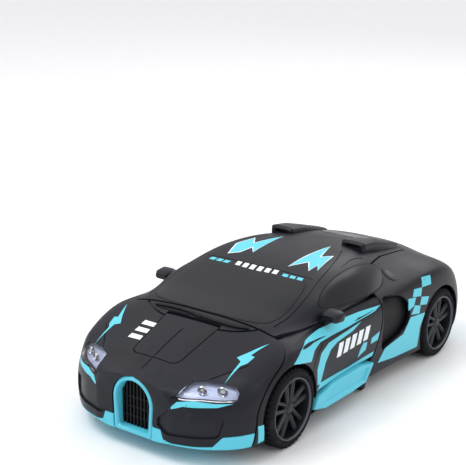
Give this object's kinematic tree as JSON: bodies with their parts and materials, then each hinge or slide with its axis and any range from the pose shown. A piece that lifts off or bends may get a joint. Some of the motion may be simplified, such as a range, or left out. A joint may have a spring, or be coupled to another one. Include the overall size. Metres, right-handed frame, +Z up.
{
  "type": "transforming robot car",
  "caption": "Low mid-engined toy coupe whose front half rises on a leg linkage to become the chest of a standing robot, with door arms and a roof-shell back.",
  "frame": {"origin": "on the ground under the middle of the closed car", "axes": "+X to the car's left, -Y towards the front, +Z up"},
  "size_m": [0.118, 0.252, 0.0739],
  "materials": {
    "body_black": "satin",
    "dark_plastic": "satin",
    "cyan_plastic": "satin",
    "silver_plastic": "satin",
    "tyre_rubber": "matte",
    "rim_plastic": "satin",
    "steel": "brushed",
    "nylon_gear": "satin",
    "lens": "clear",
    "lamp_red": "gloss",
    "reflector": "polished",
    "lamp_white": "gloss",
    "motor_can": "satin",
    "cell": "gloss",
    "board": "satin",
    "switch_red": "satin",
    "eye_blue": "gloss"
  },
  "bodies": {
    "root": {"rear_chassis": "dark_plastic", "rear_shell": "body_black", "rear_trim": "cyan_plastic", "tail_lamps": "lamp_red", "support_feet": "dark_plastic", "gear_motors": "motor_can", "battery_cell": "cell", "battery_door": "dark_plastic", "battery_door_screw": "steel", "circuit_board": "board", "leg_pivot_pin": "steel"},
    "switch": {"power_switch": "switch_red"},
    "pinion_l": {"pinion_left": "nylon_gear"},
    "pinion_r": {"pinion_right": "nylon_gear"},
    "lift_drive": {"lift_pinion": "nylon_gear"},
    "rear_wheel_l": {"rear_tyre_left": "tyre_rubber", "rear_rim_left": "rim_plastic", "rear_axle_left": "nylon_gear"},
    "rear_wheel_r": {"rear_tyre_right": "tyre_rubber", "rear_rim_right": "rim_plastic", "rear_axle_right": "nylon_gear"},
    "legs": {"leg_frame": "dark_plastic", "rib_armour": "cyan_plastic", "spine_cover": "silver_plastic", "pelvis_cover": "silver_plastic", "thigh_armour": "silver_plastic", "knee_discs": "dark_plastic", "shin_covers": "silver_plastic", "shin_sides": "cyan_plastic", "lift_gear": "nylon_gear", "chest_pivot_pin": "steel"},
    "chest": {"hood_shell": "body_black", "front_lip": "cyan_plastic", "grille_ring": "cyan_plastic", "grille_panel": "dark_plastic", "headlight_lenses": "lens", "headlight_reflectors": "reflector", "led_lamps": "lamp_white", "chest_frame": "dark_plastic"},
    "hatch": {"hatch_panel": "body_black", "head_helmet": "body_black", "head_face": "silver_plastic", "head_eyes": "eye_blue"},
    "beam_l": {"arm_beam_left": "dark_plastic"},
    "beam_r": {"arm_beam_right": "dark_plastic"},
    "arm_l": {"wheel_housing_left": "dark_plastic", "door_shell_left": "body_black", "door_sill_left": "cyan_plastic"},
    "arm_r": {"wheel_housing_right": "dark_plastic", "door_shell_right": "body_black", "door_sill_right": "cyan_plastic"},
    "front_wheel_l": {"front_tyre_left": "tyre_rubber", "front_rim_left": "rim_plastic", "front_axle_left": "dark_plastic"},
    "front_wheel_r": {"front_tyre_right": "tyre_rubber", "front_rim_right": "rim_plastic", "front_axle_right": "dark_plastic"},
    "roof": {"roof_shell": "body_black", "roof_scoops": "body_black", "roof_struts": "dark_plastic"}
  },
  "joints": [
    {"name": "stand_up", "type": "hinge", "parent": "root", "child": "legs", "pos_m": [0, 0.061, 0.03], "axis": [-1, 0, 0], "range_deg": [0, 90]},
    {"name": "chest_level", "type": "hinge", "parent": "legs", "child": "chest", "pos_m": [0, -0.074, 0.024], "axis": [1, 0, 0], "range_deg": [0, 90]},
    {"name": "roof_turn", "type": "hinge", "parent": "chest", "child": "roof", "pos_m": [0, -0.072, 0.05], "axis": [-1, 0, 0], "range_deg": [0, 90]},
    {"name": "hatch_open", "type": "hinge", "parent": "chest", "child": "hatch", "pos_m": [0, -0.0793, 0.0523], "axis": [-1, 0, 0], "range_deg": [0, 108]},
    {"name": "arm_slide_left", "type": "slide", "parent": "chest", "child": "beam_l", "axis": [1, 0, 0], "range_m": [0, 0.0501]},
    {"name": "arm_slide_right", "type": "slide", "parent": "chest", "child": "beam_r", "axis": [-1, 0, 0], "range_m": [0, 0.0501]},
    {"name": "arm_swivel_left", "type": "hinge", "parent": "beam_l", "child": "arm_l", "pos_m": [0.0362, -0.0905, 0.0185], "axis": [0, 0, 1], "range_deg": [0, 12.01]},
    {"name": "arm_swivel_right", "type": "hinge", "parent": "beam_r", "child": "arm_r", "pos_m": [-0.0362, -0.0905, 0.0185], "axis": [0, 0, -1], "range_deg": [0, 12.01]},
    {"name": "front_wheel_left", "type": "hinge", "parent": "arm_l", "child": "front_wheel_l", "pos_m": [0.05, -0.075, 0.02], "axis": [1, 0, 0], "continuous": true},
    {"name": "front_wheel_right", "type": "hinge", "parent": "arm_r", "child": "front_wheel_r", "pos_m": [-0.05, -0.075, 0.02], "axis": [1, 0, 0], "continuous": true},
    {"name": "rear_wheel_left", "type": "hinge", "parent": "root", "child": "rear_wheel_l", "pos_m": [0.05, 0.077, 0.02], "axis": [1, 0, 0], "continuous": true},
    {"name": "rear_wheel_right", "type": "hinge", "parent": "root", "child": "rear_wheel_r", "pos_m": [-0.05, 0.077, 0.02], "axis": [1, 0, 0], "continuous": true},
    {"name": "motor_pinion_left", "type": "hinge", "parent": "root", "child": "pinion_l", "pos_m": [0.028, 0.0855, 0.03472], "axis": [1, 0, 0], "continuous": true},
    {"name": "motor_pinion_right", "type": "hinge", "parent": "root", "child": "pinion_r", "pos_m": [-0.028, 0.0855, 0.03472], "axis": [1, 0, 0], "continuous": true},
    {"name": "lift_pinion_turn", "type": "hinge", "parent": "root", "child": "lift_drive", "pos_m": [0, 0.07913, 0.02155], "axis": [-1, 0, 0], "range_deg": [-360.1, 0]},
    {"name": "power_switch_slide", "type": "slide", "parent": "root", "child": "switch", "axis": [1, 0, 0], "range_m": [0, 0.003]}
  ],
  "couplings": [
    {"joint": "chest_level", "follows": "stand_up", "ratio": 1},
    {"joint": "roof_turn", "follows": "stand_up", "ratio": 1},
    {"joint": "hatch_open", "follows": "stand_up", "ratio": 1.2},
    {"joint": "arm_slide_left", "follows": "stand_up", "m_per_rad": 0.031831},
    {"joint": "arm_slide_right", "follows": "stand_up", "m_per_rad": 0.031831},
    {"joint": "arm_swivel_left", "follows": "stand_up", "ratio": 0.13333},
    {"joint": "arm_swivel_right", "follows": "stand_up", "ratio": 0.13333},
    {"joint": "lift_pinion_turn", "follows": "stand_up", "ratio": -4},
    {"joint": "motor_pinion_left", "follows": "rear_wheel_left", "ratio": -2.4},
    {"joint": "motor_pinion_right", "follows": "rear_wheel_right", "ratio": -2.4}
  ]
}
